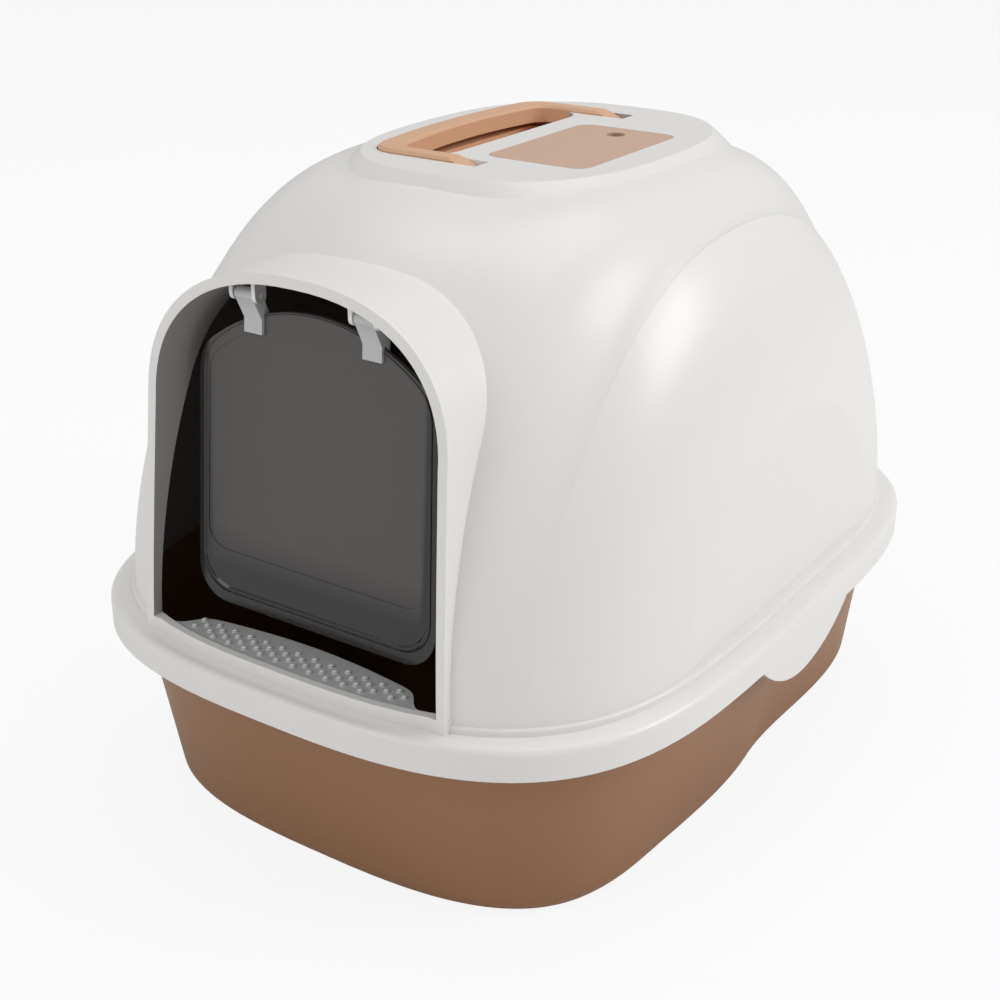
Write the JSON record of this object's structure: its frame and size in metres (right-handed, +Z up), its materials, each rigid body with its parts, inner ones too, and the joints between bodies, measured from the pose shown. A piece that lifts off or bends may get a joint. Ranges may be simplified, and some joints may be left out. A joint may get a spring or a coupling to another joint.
{
  "type": "covered litter box",
  "caption": "Covered litter box: tapered tray, lift-off domed hood, hanging see-through flap in a visored doorway, fold-down handle and lift-off filter cover.",
  "frame": {"origin": "on the floor under the centre of the box's bounding rectangle", "axes": "+X to the box's right as seen from outside its front, -Y out of the doorway, +Z up"},
  "size_m": [0.3878, 0.5, 0.3716],
  "materials": {
    "tray_plastic": "satin bronze-brown",
    "hood_plastic": "pearl white, soft gloss",
    "step_plastic": "light grey satin",
    "flap_clear": "smoked clear plastic with a frosted field",
    "clip_plastic": "light grey satin",
    "peach_plastic": "fine matte grain",
    "basket_plastic": "satin",
    "carbon_felt": "black felt"
  },
  "bodies": {
    "tray": {"tray": "tray_plastic"},
    "hood": {"hood": "hood_plastic", "step_plate": "step_plastic", "flap_pin_left": "clip_plastic", "flap_pin_right": "clip_plastic", "handle_well": "peach_plastic", "handle_pin_front": "peach_plastic", "handle_pin_rear": "peach_plastic", "filter_basket": "basket_plastic", "carbon_pad": "carbon_felt"},
    "flap": {"flap_panel": "flap_clear", "flap_clip_left": "clip_plastic", "flap_clip_right": "clip_plastic"},
    "handle": {"handle": "peach_plastic"},
    "cover": {"filter_cover": "peach_plastic"}
  },
  "joints": [
    {"name": "hood_lift", "type": "slide", "parent": "tray", "child": "hood", "axis": [0, 0, 1], "range_m": [0, 0.15]},
    {"name": "flap_swing", "type": "hinge", "parent": "hood", "child": "flap", "pos_m": [0, -0.2003, 0.323], "axis": [1, 0, 0], "range_deg": [-50, 55]},
    {"name": "handle_fold", "type": "hinge", "parent": "hood", "child": "handle", "pos_m": [0.004, 0, 0.3634], "axis": [0, 1, 0], "range_deg": [0, 85]},
    {"name": "cover_lift", "type": "slide", "parent": "hood", "child": "cover", "axis": [0, 0, 1], "range_m": [0, 0.04]}
  ]
}
